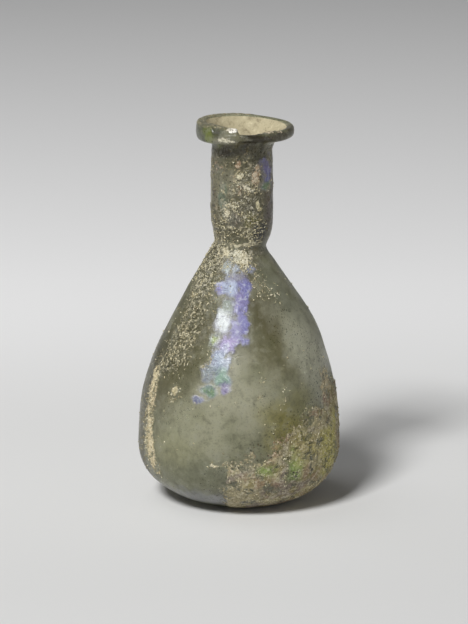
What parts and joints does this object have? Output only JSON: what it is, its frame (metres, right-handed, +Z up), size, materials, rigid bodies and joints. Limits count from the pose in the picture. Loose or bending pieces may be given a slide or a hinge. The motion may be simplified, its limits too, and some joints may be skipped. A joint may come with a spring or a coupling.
{
  "type": "glass perfume flask",
  "caption": "Small blown glass flask with a pear-shaped body, a neck pinched at its foot and a folded rim, weathered and open at the mouth.",
  "frame": {"origin": "middle of the underside, on the surface that the flask stands on", "axes": "+Z up through the mouth; -Y is the side where the rim's fold runs thin and the iridescent film is strongest; +X is to the right of someone who faces that side"},
  "size_m": [0.053, 0.0522, 0.1002],
  "materials": {
    "weathered_glass": "thin olive-green blown glass gone hazy, with satin weathering, violet and blue iridescent film, and cream and brown burial crust in patches"
  },
  "bodies": {
    "root": {"flask": "weathered_glass"}
  },
  "joints": []
}
